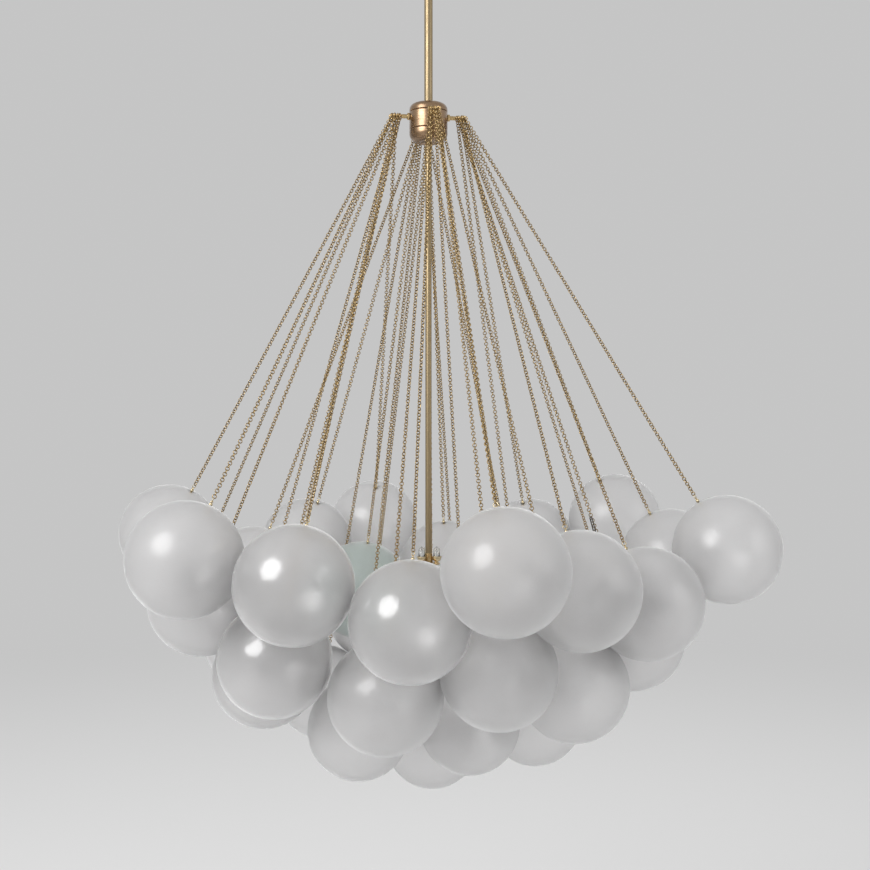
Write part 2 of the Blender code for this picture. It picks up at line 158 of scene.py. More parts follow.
def eased(outline, ease, count=3):
    """An outline with each inner corner rounded off, as a turner leaves it."""
    points = [outline[0]]
    for before, corner, after in zip(outline, outline[1:], outline[2:]):
        b, c, a = Vector(before), Vector(corner), Vector(after)
        back, on = b - c, a - c
        start = c + back.normalized() * min(ease, back.length / 2)
        end = c + on.normalized() * min(ease, on.length / 2)
        for i in range(count + 1):
            t = i / count
            points.append(tuple(start * (1 - t) ** 2 + c * 2 * t * (1 - t) + end * t ** 2))
    points.append(outline[-1])
    return points


def new_piece(name, shape, *materials):
    """An object from a shape, which is its points and faces."""
    points, faces = shape
    mesh = bpy.data.meshes.new(name)
    mesh.from_pydata([tuple(p) for p in points], [], faces)
    mesh.polygons.foreach_set("use_smooth", [True] * len(faces))
    for material in materials:
        mesh.materials.append(material)
    piece = bpy.data.objects.new(name, mesh)
    bpy.context.scene.collection.objects.link(piece)
    return piece


def turned(outline, steps=64, closed=False):
    """The shape of an outline of (radius, height) points turned round Z. It runs down the outside."""
    points, rings = [], []
    for r, z in outline:
        if r < on_axis:
            rings.append([len(points)] * steps)
            points.append((0, 0, z))
        else:
            rings.append(list(range(len(points), len(points) + steps)))
            points += [(r * cos(2 * pi * i / steps), r * sin(2 * pi * i / steps), z) for i in range(steps)]
    faces = []
    for one, two in zip(rings, rings[1:] + rings[:1] if closed else rings[1:]):
        for i in range(steps):
            j = (i + 1) % steps
            face = [one[i], two[i], two[j], one[j]]
            face = [v for k, v in enumerate(face) if v != face[k - 1]]
            if len(face) > 2:
                faces.append(face)
    return points, faces


def settle_piece(piece, material_slot, *replaced, body=None):
    """Puts a finished piece on its body, and hides the solids it stands for."""
    if replaced:
        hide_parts(*replaced)
    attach(piece, body or nodes[replaced[0]]["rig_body"])


def aged_brass(name, dark, light, spots, lines_scale, roughness, lacquer=0):
    """Brass that has darkened in the air, with the fine lines that turning or drawing left in it."""
    made, tree, shader = new_material(name)
    place = add_node(tree, "TexCoord").outputs["Object"]
    lines_place = add_node(tree, "Mapping", {"Vector": place, "Scale": lines_scale}).outputs["Vector"]
    lines = add_node(tree, "TexNoise", {"Vector": lines_place, "Scale": 1, "Detail": 3}).outputs["Fac"]
    bloom = add_node(
        tree, "TexNoise", {"Vector": place, "Scale": 70, "Detail": 8, "Roughness": 0.62}).outputs["Fac"]
    stain = add_node(
        tree, "TexNoise", {"Vector": place, "Scale": 420, "Detail": 4, "Roughness": 0.7}).outputs["Fac"]
    edge = add_node(tree, "NewGeometry").outputs["Pointiness"]
    worn = add_node(tree, "MapRange", {"Value": edge, "From Min": 0.50, "From Max": 0.56, "To Max": 0.4})
    patina = add_node(tree, "Math", {0: bloom, 1: lines}, operation="MULTIPLY").outputs[0]
    tone = add_node(tree, "Math", {0: patina, 1: worn.outputs["Result"]}, operation="ADD").outputs[0]
    metal = ramp(tree, tone, [(0.14, dark), (0.38, light)])
    speck = ramp(tree, stain, [(0.60, (1, 1, 1)), (0.72, spots)])
    colour = add_node(tree, "Mix", {0: 1, 6: metal, 7: speck}, data_type="RGBA", blend_type="MULTIPLY")
    tree.links.new(colour.outputs[2], shader.inputs["Base Color"])
    dull = add_node(tree, "MapRange", {
        "Value": patina, "From Min": 0.12, "From Max": 0.40,
        "To Min": roughness * 1.25, "To Max": roughness * 0.8})
    tree.links.new(dull.outputs["Result"], shader.inputs["Roughness"])
    marks = add_node(tree, "Math", {0: lines, 1: stain}, operation="ADD").outputs[0]
    bump = add_node(tree, "Bump", {"Height": marks, "Strength": 0.10, "Distance": 0.0001})
    tree.links.new(bump.outputs["Normal"], shader.inputs["Normal"])
    shader.inputs["Metallic"].default_value = 1
    shader.inputs["Coat Weight"].default_value = lacquer
    shader.inputs["Coat Roughness"].default_value = lacquer_roughness
    return made


turned_brass = aged_brass(
    "turned_brass", hub_brown, hub_rose, brown_spots, turned_lines, turned_roughness, hub_lacquer)

canopy_low, canopy_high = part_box("canopy")
canopy_radius = canopy_high.x
canopy_base = canopy_low.z + collar_height
stem_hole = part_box("upper_stem")[1].x + stem_gap
corner_r = canopy_radius - canopy_corner
corner_z = canopy_base + canopy_corner
dish = [(canopy_radius, canopy_high.z)]
dish += arc(corner_r, corner_z, canopy_corner, 0, -90, 10)
dish += eased([
    (collar_radius + canopy_wall, canopy_base),
    (collar_radius, canopy_base - canopy_wall),
    (collar_radius, canopy_low.z),
    (stem_hole, canopy_low.z),
    (stem_hole, canopy_base + canopy_wall),
], canopy_wall / 2)
dish += arc(corner_r, corner_z, canopy_corner - canopy_wall, -90, 0, 10)
dish += [(canopy_radius - canopy_wall, canopy_high.z)]
canopy = new_piece("spun_canopy", turned(dish, lathe_steps, closed=True), turned_brass)
settle_piece(canopy, "aged_brass", "canopy")

grub_end = collar_radius + stem_gap
socket_floor = grub_end - 2 * grub_socket
grub = eased([
    (0, socket_floor),
    (grub_socket, socket_floor),
    (grub_socket, grub_end),
    (grub_radius, grub_end),
    (grub_radius, stem_hole),
    (0, stem_hole),
], stem_gap / 2)
grub_screw = new_piece("canopy_grub_screw", turned(grub, screw_steps), turned_brass)
grub_screw.matrix_world = Matrix.Translation((0, 0, canopy_low.z + collar_height / 2)) @ Matrix.Rotation(
    pi / 2, 4, Vector((-1, 0, 0)))
settle_piece(grub_screw, "aged_brass", body=nodes["canopy"]["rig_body"])


# Upper stem
# A drawn brass tube from the bracket to the hub. It is yellower than the hub, with a few lengthwise draw
# marks. The lower stem is made by the same function.
stem_brown = (0.11, 0.078, 0.038)
stem_gold = (0.38, 0.295, 0.175)
stem_spots = (0.75, 0.68, 0.55)
drawn_lines = (2200, 2200, 14)
drawn_roughness = 0.42
stem_end_ease = 0.0006
stem_steps = 48


def stem_piece(name, node):
    low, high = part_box(node)
    outline = [(0, high.z), (high.x, high.z), (high.x, low.z), (0, low.z)]
    piece = new_piece(name, turned(eased(outline, stem_end_ease), stem_steps), drawn_brass)
    settle_piece(piece, "aged_brass", node)


drawn_brass = aged_brass("drawn_brass", stem_brown, stem_gold, stem_spots, drawn_lines, drawn_roughness)
stem_piece("upper_stem_tube", "upper_stem")


# Hub
# A drum in three turned pieces of rosy aged brass: a cap with a rounded shoulder, a band that holds the
# arms, and a domed base. They meet in fine grooves, and the stems screw into the band.
hub_shoulder = 0.009
hub_dome = 0.013
groove = 0.0008
hub_ease = 0.0004

cap_low, cap_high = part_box("hub_top_cap")
hub_radius = cap_high.x
cap = [(stem_hole, cap_high.z)]
cap += arc(hub_radius - hub_shoulder, cap_high.z - hub_shoulder, hub_shoulder, 90, 0, 10)
cap += eased([
    (hub_radius, cap_low.z + 2 * groove),
    (hub_radius, cap_low.z + groove),
    (hub_radius - groove, cap_low.z),
    (stem_hole, cap_low.z),
], hub_ease)
hub_cap = new_piece("hub_cap", turned(cap, lathe_steps, closed=True), turned_brass)
settle_piece(hub_cap, "aged_brass", "hub_top_cap")

band_low, band_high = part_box("hub_body")
band = eased([
    (0, band_high.z),
    (hub_radius - groove, band_high.z),
    (hub_radius, band_high.z - groove),
    (hub_radius, band_low.z + groove),
    (hub_radius - groove, band_low.z),
    (0, band_low.z),
], hub_ease)
hub_band = new_piece("hub_band", turned(band, lathe_steps), turned_brass)
settle_piece(hub_band, "aged_brass", "hub_body")

dome_low, dome_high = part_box("hub_bottom_cap")
thin_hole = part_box("lower_stem")[1].x + stem_gap
dome = [(thin_hole, dome_high.z)]
dome += eased([
    (hub_radius - 2 * groove, dome_high.z),
    (hub_radius - groove, dome_high.z),
    (hub_radius, dome_high.z - groove),
    (hub_radius, dome_high.z - 2 * groove),
], hub_ease)
dome += arc(hub_radius - hub_dome, dome_low.z + hub_dome, hub_dome, 0, -90, 16)
dome += [(thin_hole, dome_low.z)]
hub_base = new_piece("hub_dome", turned(dome, lathe_steps, closed=True), turned_brass)
settle_piece(hub_base, "aged_brass", "hub_bottom_cap")


# Arms
# Four short brass rods pressed into the hub's band, each with a small collar against it. A flat ring of
# wire is brazed to each tip, and all the chains of that side are threaded on it.
arm_drop = 0.0066
arm_radius = 0.003
arm_socket = 0.010
arm_collar_radius = 0.005
arm_collar_width = 0.003
arm_reach = 0.0465
arm_turn = radians(9)
arm_sides = ["right", "back", "left", "front"]
arm_ring_radius = 0.0070
arm_ring_wire = 0.0012
arm_steps = 32
arm_ring_steps = 48
bright_brown = (0.30, 0.20, 0.085)
bright_gold = (0.66, 0.48, 0.24)
bright_lines = (900, 900, 900)
bright_roughness = 0.26


def wire_loop(radius, wire, straight=0, steps=40, sides=12):
    """The shape of a round wire bent into a loop in the XZ plane, made longer by straight at both ends."""
    half = steps // 2
    points = []
    for end in (1, -1):
        for i in range(half):
            a = pi * i / (half - 1 if straight else half)
            across, along = end * cos(a), end * sin(a)
            for k in range(sides):
                b = 2 * pi * k / sides
                out = radius + wire * cos(b)
                points.append((out * across, wire * sin(b), end * straight + out * along))
    count = 2 * half
    faces = []
    for i in range(count):
        for k in range(sides):
            here, on = i * sides, (i + 1) % count * sides
            faces.append([here + k, here + (k + 1) % sides, on + (k + 1) % sides, on + k])
    return points, faces


def moved(shape, matrix):
    points, faces = shape
    return [matrix @ Vector(p) for p in points], faces


def joined(*shapes):
    """Several shapes as one."""
    points, faces = [], []
    for some_points, some_faces in shapes:
        start = len(points)
        points += list(some_points)
        faces += [[start + v for v in face] for face in some_faces]
    return points, faces


def frame_of(x_axis, y_axis, z_axis, origin):
    """The matrix of a frame with these axes and origin."""
    matrix = Matrix((x_axis, y_axis, z_axis)).transposed().to_4x4()
    matrix.translation = origin
    return matrix


up = Vector((0, 0, 1))
arm_z = band_high.z - arm_drop
bright_brass = aged_brass(
    "bright_brass", bright_brown, bright_gold, stem_spots, bright_lines, bright_roughness)
collar_face = hub_radius + stem_gap
rod = eased([
    (0, arm_reach - arm_ring_radius),
    (arm_radius, arm_reach - arm_ring_radius),
    (arm_radius, collar_face + arm_collar_width),
    (arm_collar_radius, collar_face + arm_collar_width),
    (arm_collar_radius, collar_face),
    (arm_radius, collar_face),
    (arm_radius, hub_radius - arm_socket),
    (0, hub_radius - arm_socket),
], hub_ease)
arm_ring = wire_loop(arm_ring_radius, arm_ring_wire, steps=arm_ring_steps)
arm_shape = joined(turned(rod, arm_steps), moved(arm_ring, Matrix.Translation((0, 0, arm_reach))))
ring_centres = []
for number, side in enumerate(arm_sides):
    turn = arm_turn + number * pi / 2
    out = Vector((cos(turn), sin(turn), 0))
    arm = new_piece(f"{side}_arm", arm_shape, bright_brass)
    arm.matrix_world = frame_of(up.cross(out), up, out, up * arm_z)
    ring_centres.append(out * arm_reach + up * arm_z)
    settle_piece(arm, "aged_brass", f"{side}_arm_chains")


# Lower stem
# A thinner tube of the same drawn brass, from the hub down to the lamps at the middle of the globes.
stem_piece("lower_stem_tube", "lower_stem")


# Lamp cluster
# A sleeve on the stem's end carries a round plate, held by a domed nut, and three lampholders like small
# bowls stand on the plate. All are turned brass. In the photograph only the ringed sleeve and one bright
# bowl show above a globe.
sleeve_radius = 0.0062
sleeve_height = 0.014
sleeve_rings = 4
sleeve_ring_height = 0.0016
sleeve_ring_depth = 0.0006
plate_radius = 0.0165
plate_thickness = 0.002
nut_radius = 0.005
lamp_ease = 0.0004
cup_height = 0.010
cup_radius = 0.0074
cup_rim = 0.0016
cup_bowl_depth = 0.0058
cup_base = 0.0026
cup_foot = 0.0042
bowl_steps = 6
cup_socket_radius = 0.0052
cup_socket_depth = 0.004
cup_steps = 48
polished_brown = (0.40, 0.31, 0.17)
polished_gold = (0.76, 0.64, 0.42)
polished_lines = (1200, 1200, 1200)
polished_roughness = 0.19

lamp_low, lamp_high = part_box("lamp_cluster")
plate_top = lamp_high.z - sleeve_height
plate_base = plate_top - plate_thickness
ring_points = []
for ring in range(sleeve_rings):
    ring_top = lamp_high.z - ring * sleeve_ring_height
    ring_points.append((sleeve_radius - sleeve_ring_depth, ring_top))
    ring_points.append((sleeve_radius, ring_top - sleeve_ring_height / 2))
ring_base = lamp_high.z - sleeve_rings * sleeve_ring_height
plate = eased([
    (thin_hole, lamp_high.z),
    *ring_points,
    (sleeve_radius - sleeve_ring_depth, ring_base),
    (sleeve_radius, ring_base - sleeve_ring_depth),
    (sleeve_radius, plate_top),
    (plate_radius, plate_top),
    (plate_radius, plate_base),
    (nut_radius, plate_base),
], lamp_ease)
plate += arc(0, lamp_low.z + nut_radius, nut_radius, 0, -90, 8)[1:-1]
plate += [(0, lamp_low.z)]
lamp_plate = new_piece("lamp_plate", turned(plate), bright_brass)
settle_piece(lamp_plate, "aged_brass", "lamp_cluster")

cup_top = plate_top + cup_height
bowl_reach = cup_radius - cup_rim / 2 - cup_base
bowl = []
for i in range(bowl_steps + 1):
    a = pi / 2 * i / bowl_steps
    bowl.append((cup_base + bowl_reach * cos(a), cup_top - cup_rim - cup_bowl_depth * sin(a)))
cup = eased([
    (0, cup_top - cup_socket_depth),
    (cup_socket_radius, cup_top - cup_socket_depth),
    (cup_socket_radius, cup_top),
    (cup_radius, cup_top),
    (cup_radius, cup_top - cup_rim),
    *bowl,
    (cup_base, plate_top + cup_foot - cup_base),
    (cup_foot, plate_top),
    (0, plate_top),
], lamp_ease)
cup_shape = turned(cup, cup_steps)
polished_brass = aged_brass(
    "polished_brass", polished_brown, polished_gold, stem_spots, polished_lines, polished_roughness)
lamp_places = []
for number in (1, 2, 3):
    low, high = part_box(f"bulb_{number}")
    lamp_places.append(Vector(((low.x + high.x) / 2, (low.y + high.y) / 2, 0)))
    holder = new_piece(f"lampholder_{number}", cup_shape, polished_brass)
    holder.location = lamp_places[-1]
    settle_piece(holder, "aged_brass", body=nodes["lamp_cluster"]["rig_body"])


# Bulbs
# Small capsule lamps of clear glass with a drawn-off tip. Inside, two dark lead wires bend in towards each
# other and hold a coiled filament between them.
bulb_wall = 0.0004
bulb_tip = 0.0009
tip_radius = 0.00054
tip_shoulder = 0.00036
bulb_steps = 40
lamp_white = (0.97, 0.97, 0.95)
lamp_haze = 0.12
glass_index = 1.5
ripple_shade = 0.97
lead_radius = 0.00022
lead_spread = 0.0016
lead_steps = 6
lead_bends = 2
lead_step_in = 0.00048
lead_step_up = 0.00064
lead_turn = 1.1
lead_grey = (0.055, 0.050, 0.048)
lead_sheen = (0.121, 0.110, 0.1056)
coil_turns = 7
coil_steps = 8
coil_radius = 0.00044
coil_wire = 0.00011


def clear_glass(name, colour, haze):
    """Clear glass with faint ripples and dust."""
    made, tree, shader = new_material(name)
    place = add_node(tree, "TexCoord").outputs["Object"]
    ripple = add_node(tree, "TexNoise", {"Vector": place, "Scale": 60, "Detail": 2}).outputs["Fac"]
    dust = add_node(tree, "TexNoise", {"Vector": place, "Scale": 900, "Detail": 5}).outputs["Fac"]
    smear = add_node(tree, "MapRange", {"Value": dust, "From Min": 0.4, "From Max": 0.7, "To Max": haze})
    tree.links.new(smear.outputs["Result"], shader.inputs["Roughness"])
    tint = ramp(tree, ripple, [(0.3, colour), (0.7, tuple(ripple_shade * c for c in colour))])
    tree.links.new(tint, shader.inputs["Base Color"])
    bump = add_node(tree, "Bump", {"Height": ripple, "Strength": 0.1, "Distance": 0.0003})
    tree.links.new(bump.outputs["Normal"], shader.inputs["Normal"])
    shader.inputs["Transmission Weight"].default_value = 1
    shader.inputs["IOR"].default_value = glass_index
    return made


def dark_wire():
    made, tree, shader = new_material("dark_wire")
    place = add_node(tree, "TexCoord").outputs["Object"]
    scale = add_node(tree, "TexNoise", {"Vector": place, "Scale": 1500, "Detail": 3}).outputs["Fac"]
    colour = ramp(tree, scale, [(0.35, lead_grey), (0.65, lead_sheen)])
    tree.links.new(colour, shader.inputs["Base Color"])
    dull = add_node(tree, "MapRange", {"Value": scale, "To Min": 0.35, "To Max": 0.6}).outputs["Result"]
    tree.links.new(dull, shader.inputs["Roughness"])
    shader.inputs["Metallic"].default_value = 1
    return made


def bent_wire(route, wire, sides=8):
    """The shape of a round wire along a route, with closed ends."""
    route = [Vector(p) for p in route]
    across = (route[1] - route[0]).orthogonal().normalized()
    points, faces = [], []
    for i, place in enumerate(route):
        along = (route[min(i + 1, len(route) - 1)] - route[max(i - 1, 0)]).normalized()
        across = (across - along * across.dot(along)).normalized()
        other = along.cross(across)
        points += [
            place + wire * (cos(2 * pi * k / sides) * across + sin(2 * pi * k / sides) * other)
            for k in range(sides)]
    for i in range(len(route) - 1):
        for k in range(sides):
            one, two = i * sides + k, i * sides + (k + 1) % sides
            faces.append([one, two, two + sides, one + sides])
    faces.append(list(range(sides))[::-1])
    faces.append(list(range(len(points) - sides, len(points))))
    return points, faces


lead_metal = dark_wire()
lamp_glass = clear_glass("lamp_glass", lamp_white, lamp_haze)
bulb_low, bulb_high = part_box("bulb_1")
bulb_radius = (bulb_high.y - bulb_low.y) / 2
capsule_middle = bulb_high.z - bulb_radius - bulb_tip
capsule = [(0, bulb_high.z), (tip_radius, bulb_high.z - tip_shoulder)]
capsule += arc(0, capsule_middle, bulb_radius, 72, 0, 8)
capsule += [(bulb_radius, bulb_low.z), (bulb_radius - bulb_wall, bulb_low.z)]
capsule += arc(0, capsule_middle, bulb_radius - bulb_wall, 0, 90, 10)
capsule[-1] = (0, capsule[-1][1])
bulb_shape = turned(capsule, bulb_steps)

leads = []
lead_rise = (capsule_middle - bulb_low.z) / lead_steps
for side in (-1, 1):
    route = [(side * lead_spread, 0, bulb_low.z + lead_rise * i) for i in range(lead_steps + 1)]
    for i in range(1, lead_bends + 1):
        route.append((side * (lead_spread - lead_step_in * i), 0, capsule_middle + lead_step_up * i))
    leads.append(bent_wire(route, lead_radius))
coil_half = lead_spread - lead_bends * lead_step_in
coil_z = capsule_middle + lead_bends * lead_step_up
coil = []
for i in range(coil_turns * coil_steps + 1):
    a = 2 * pi * i / coil_steps
    x = coil_half * (2 * i / (coil_turns * coil_steps) - 1)
    coil.append((x, coil_radius * cos(a), coil_z + coil_radius * sin(a)))
leads.append(bent_wire(coil, coil_wire, sides=5))
lead_shape = joined(*leads)
for number, place in enumerate(lamp_places, 1):
    bulb = new_piece(f"bulb_capsule_{number}", bulb_shape, lamp_glass)
    bulb.location = place
    settle_piece(bulb, "lamp_glass", f"bulb_{number}")
    filament = new_piece(f"bulb_leads_{number}", lead_shape, lead_metal)
    filament.matrix_world = Matrix.Translation(place) @ Matrix.Rotation(number * lead_turn, 4, "Z")
    settle_piece(filament, "zinc_plated_steel", body=nodes[f"bulb_{number}"]["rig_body"])


# Chains
# Fine cable chain of antique yellow brass. A round top link is threaded on the arm's ring, and below it
# the links are nearly round loops of wire, each across its neighbours, darkened inside by tarnish and by
# painted shade. Each chain has a slight twist of its own.
globe_radius = 0.075
glass_wall = 0.003
top_link_radius = 0.0030
top_link_wire = 0.0008
top_link_steps = 24
fine_sides = 8
link_pitch = 0.0040
link_wire = 0.00064
link_width = 0.0062
last_link_height = 0.0888
lean_least = radians(12)
lean_most = radians(48)
lean_links = 12
twist_most = radians(75)
jitter_most = radians(9)
link_steps = 12
link_sides = 5
chain_brown = (0.130, 0.088, 0.037)
chain_gold = (0.56, 0.410, 0.205)
chain_lines = (700, 700, 700)
chain_roughness = 0.19
# Darker brass inside the links: tarnish, and painted shade where the links' insides lie in shadow.
tarnish_shade_brown = (0.060, 0.038, 0.015)
tarnish_shade_gold = (0.27, 0.180, 0.074)
tarnish_shade_roughness = 0.30


def globe_middle(points):
    """The middle of the ball that fits these points of a globe's solid best."""
    rows = np.hstack([2 * points, np.ones((len(points), 1))])
    return Vector(np.linalg.lstsq(rows, (points ** 2).sum(axis=1), rcond=None)[0][:3])


def node_points(name):
    mesh = nodes[name].data
    points = np.empty(len(mesh.vertices) * 3)
    mesh.vertices.foreach_get("co", points)
    return points.reshape(-1, 3)


def chain_shape(span, start, turns):
    """The links of a chain from its top link down. Each one stands across the last, with its own turn."""
    centre_radius = link_width / 2 - link_wire
    pitch = span / (len(turns) - 1)
    straight = pitch / 2 + link_wire - centre_radius
    points, faces = wire_loop(centre_radius, link_wire, straight, link_steps, link_sides)
    points, faces = np.array(points), np.array(faces)
    count = len(points)
    all_points, all_faces = [], []
    for number, turn in enumerate(turns):
        spin = np.array([[cos(turn), sin(turn), 0], [-sin(turn), cos(turn), 0], [0, 0, 1]])
        all_points.append(points @ spin - np.array([0, 0, start + pitch * number]))
        all_faces.append(faces + count * number)
    return np.vstack(all_points).tolist(), np.vstack(all_faces).tolist()


def tarnish_and_shade_inside(piece, first_face):
    """Gives the faces of each link that look into its loop the piece's second material: tarnish and painted
    shade.
    """
    sides = [0] + [1] * (link_sides - 2) + [0]
    index = [0] * first_face + sides * ((len(piece.data.polygons) - first_face) // link_sides)
    piece.data.polygons.foreach_set("material_index", index)


def placed(shape, matrix):
    """A shape of many points, moved by a matrix, so that the piece itself stays at the origin."""
    points, faces = shape
    turn = np.array(matrix.to_3x3())
    return (np.array(points) @ turn.T + np.array(matrix.translation)).tolist(), faces


chance = random.Random(35)
chain_brass = aged_brass(
    "chain_brass", chain_brown, chain_gold, stem_spots, chain_lines, chain_roughness)
# The second chain material is darker: tarnish, and painted shade inside the links.
chain_tarnish_and_shade = aged_brass(
    "chain_tarnish_and_shade", tarnish_shade_brown, tarnish_shade_gold, stem_spots, chain_lines, tarnish_shade_roughness)
top_link = wire_loop(top_link_radius, top_link_wire, steps=top_link_steps, sides=fine_sides)
first_drop = top_link_radius - top_link_wire + link_pitch / 2
link_drop = top_link_radius - top_link_wire - arm_ring_wire - stem_gap
fused_chains = np.vstack([node_points(f"{side}_arm_chains") for side in arm_sides])
seats = {}
last_turns = {}
for node in sorted(nodes):
    if not node.startswith("globe_"):
        continue
    name = node[len("globe_"):]
    own_chain = f"chain_{name}" in nodes
    strand = node_points(f"chain_{name}") if own_chain else fused_chains
    middle = globe_middle(node_points(node))
    tip = Vector(strand[np.argmin(np.linalg.norm(strand - np.array(middle), axis=1))])
    along = (tip - middle).normalized()
    hook = middle + along * ((arm_z - middle.z) / along.z)
    ring_centre = min(ring_centres, key=lambda centre: (hook - centre).length)
    outward = (hook - ring_centre).normalized()
    level = up.cross(outward)
    level = (level - along * level.dot(along)).normalized()
    across = level.cross(along)
    pivot = hook - along * link_drop
    span = (pivot - middle).length - first_drop - last_link_height
    count = round(span / link_pitch) + 1
    lean = chance.choice((-1, 1)) * chance.uniform(lean_least, lean_most)
    twist = chance.uniform(-twist_most, twist_most)
    turns = [
        pi / 2 * (i + 1) + lean * min(i / lean_links, 1) + twist * i / count
        + chance.uniform(-jitter_most, jitter_most) for i in range(count)]
    shape = joined(top_link, chain_shape(span, first_drop, turns))
    place = frame_of(across, level, along, pivot)
    links = new_piece(f"links_{name}", placed(shape, place), chain_brass, chain_tarnish_and_shade)
    # The faces inside each link get the darker brass: tarnish and painted shade.
    tarnish_and_shade_inside(links, len(top_link[1]))
    if own_chain:
        settle_piece(links, "aged_brass", f"chain_{name}")
    else:
        settle_piece(links, "aged_brass", body=nodes[node]["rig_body"])
    seats[name] = frame_of(across, level, along, middle)
    last_turns[name] = turns[-1]


# Hangers
# A jump ring joins each chain to an eyelet on a small turned ball. The ball sits on the globe, and its
# neck drops through the hole to a toggle inside, which carries the glass. They are polished brighter than
# the chains.
jump_radius = 0.00295
jump_wire = 0.00055
jump_height = 0.0844
jump_steps = 28
eyelet_radius = 0.0013
eyelet_wire = 0.0005
eyelet_height = 0.0812
eyelet_steps = 20
ball_radius = 0.0025
neck_radius = 0.0015
neck_angle = -60
toggle_radius = 0.0045
toggle_foot_radius = 0.0036
toggle_gap = 0.0009
toggle_edge = 0.00105
toggle_thickness = 0.0015
hanger_steps = 24

# One chain has a long dark wire loop hooked to its links, as in the photograph
clipped = "front_4"
clip_height = 0.171
clip_wire = 0.0008
clip_width = 0.0050
clip_length = 0.0240
clip_tilt = radians(4)
clip_steps = 20

toggle_top = globe_radius - glass_wall - toggle_gap
hanger = arc(0, globe_radius + ball_radius, ball_radius, 90, neck_angle, 14)
hanger[0] = (0, hanger[0][1])
hanger += eased([
    (neck_radius, globe_radius - stem_gap),
    (neck_radius, toggle_top),
    (toggle_radius, toggle_top),
    (toggle_foot_radius, toggle_top - toggle_edge),
    (0, toggle_top - toggle_thickness),
], stem_gap)
jump_ring = wire_loop(jump_radius, jump_wire, steps=jump_steps, sides=fine_sides)
jump_ring = moved(jump_ring, Matrix.Translation((0, 0, jump_height)))
quarter = Matrix.Rotation(pi / 2, 4, "Z")
eyelet = wire_loop(eyelet_radius, eyelet_wire, steps=eyelet_steps, sides=fine_sides)
eyelet = moved(eyelet, Matrix.Translation((0, 0, eyelet_height)) @ quarter)
hanger_shape = joined(turned(hanger, hanger_steps), jump_ring, eyelet)
clip_bend = clip_width / 2 - clip_wire
clip_straight = clip_length / 2 - clip_wire - clip_bend
clip_shape = wire_loop(clip_bend, clip_wire, clip_straight, steps=clip_steps, sides=fine_sides)
clip_place = Matrix.Translation((link_width / 2, 0, clip_height)) @ quarter
clip_place = clip_place @ Matrix.Rotation(clip_tilt, 4, "Y")
for name, seat in seats.items():
    body = nodes[f"globe_{name}"]["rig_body"]
    place = seat @ Matrix.Rotation(last_turns[name] + pi / 2, 4, "Z")
    piece = new_piece(f"hanger_{name}", placed(hanger_shape, place), polished_brass)
    settle_piece(piece, "aged_brass", body=body)
    if name == clipped:
        clip = new_piece(f"clip_{name}", placed(clip_shape, seat @ clip_place), lead_metal)
        settle_piece(clip, "zinc_plated_steel", body=body)


# Globes
# Free-blown glass, etched to a satin white outside and left smooth inside, with a fire-rounded hole for the
# hanger. Three are etched more lightly and one is of greener glass, as in the photograph.
glass_white = (0.980, 0.975, 0.976)
glass_green = (0.80, 0.90, 0.86)
lightly_etched = ("front_9", "left_2", "left_3")
greener = ("left_5",)
satin_roughness = 0.34
satin_clearness = 0.80
light_satin_roughness = 0.32
light_satin_clearness = 0.84
light_satin_gloss = 1
gloss_roughness = 0.08
etch_shade = 0.93
etch_sheen = 0.8
etch_sheen_roughness = 0.3
inside_haze = 0.06
globe_hole = 0.003
globe_steps = 64
inner_count = 30
outer_count = 34
lip_count = 6


def etched_glass(name, colour, roughness, clearness, gloss=0):
    """Glass with an etched face, which scatters light, and broad patches where the acid bit less."""
    made, tree, shader = new_material(name)
    place = add_node(tree, "TexCoord").outputs["Object"]
    cloud = add_node(tree, "TexNoise", {"Vector": place, "Scale": 26, "Detail": 5}).outputs["Fac"]
    grain = add_node(tree, "TexNoise", {"Vector": place, "Scale": 1500, "Detail": 3}).outputs["Fac"]
    depth = add_node(tree, "Math", {0: cloud, 1: grain}, operation="ADD").outputs[0]
    tint = ramp(tree, depth, [(0.75, tuple(etch_shade * c for c in colour)), (1.0, colour)])
    tree.links.new(tint, shader.inputs["Base Color"])
    bite = add_node(tree, "MapRange", {
        "Value": depth, "From Min": 0.7, "From Max": 1.3,
        "To Min": roughness * 0.88, "To Max": roughness * 1.12})
    tree.links.new(bite.outputs["Result"], shader.inputs["Roughness"])
    waves = add_node(tree, "TexNoise", {"Vector": place, "Scale": 14, "Detail": 1}).outputs["Fac"]
    bump = add_node(tree, "Bump", {"Height": waves, "Strength": 0.1, "Distance": 0.002})
    tree.links.new(bump.outputs["Normal"], shader.inputs["Normal"])
    shader.inputs["Transmission Weight"].default_value = clearness
    shader.inputs["IOR"].default_value = glass_index
    shader.inputs["Sheen Weight"].default_value = etch_sheen
    shader.inputs["Sheen Roughness"].default_value = etch_sheen_roughness
    speckle = add_node(tree, "TexNoise", {"Vector": place, "Scale": 620, "Detail": 2}).outputs["Fac"]
    pits = add_node(tree, "Bump", {"Height": speckle, "Strength": 0.25, "Distance": 0.0003})
    tree.links.new(pits.outputs["Normal"], shader.inputs["Coat Normal"])
    shader.inputs["Coat Weight"].default_value = gloss
    shader.inputs["Coat Roughness"].default_value = gloss_roughness
    return made


satin_glass = etched_glass("satin_glass", glass_white, satin_roughness, satin_clearness)
light_satin_glass = etched_glass(
    "light_satin_glass", glass_white, light_satin_roughness, light_satin_clearness, light_satin_gloss)
green_satin_glass = etched_glass("green_satin_glass", glass_green, satin_roughness, satin_clearness)
smooth_glass = clear_glass("smooth_glass", glass_white, inside_haze)

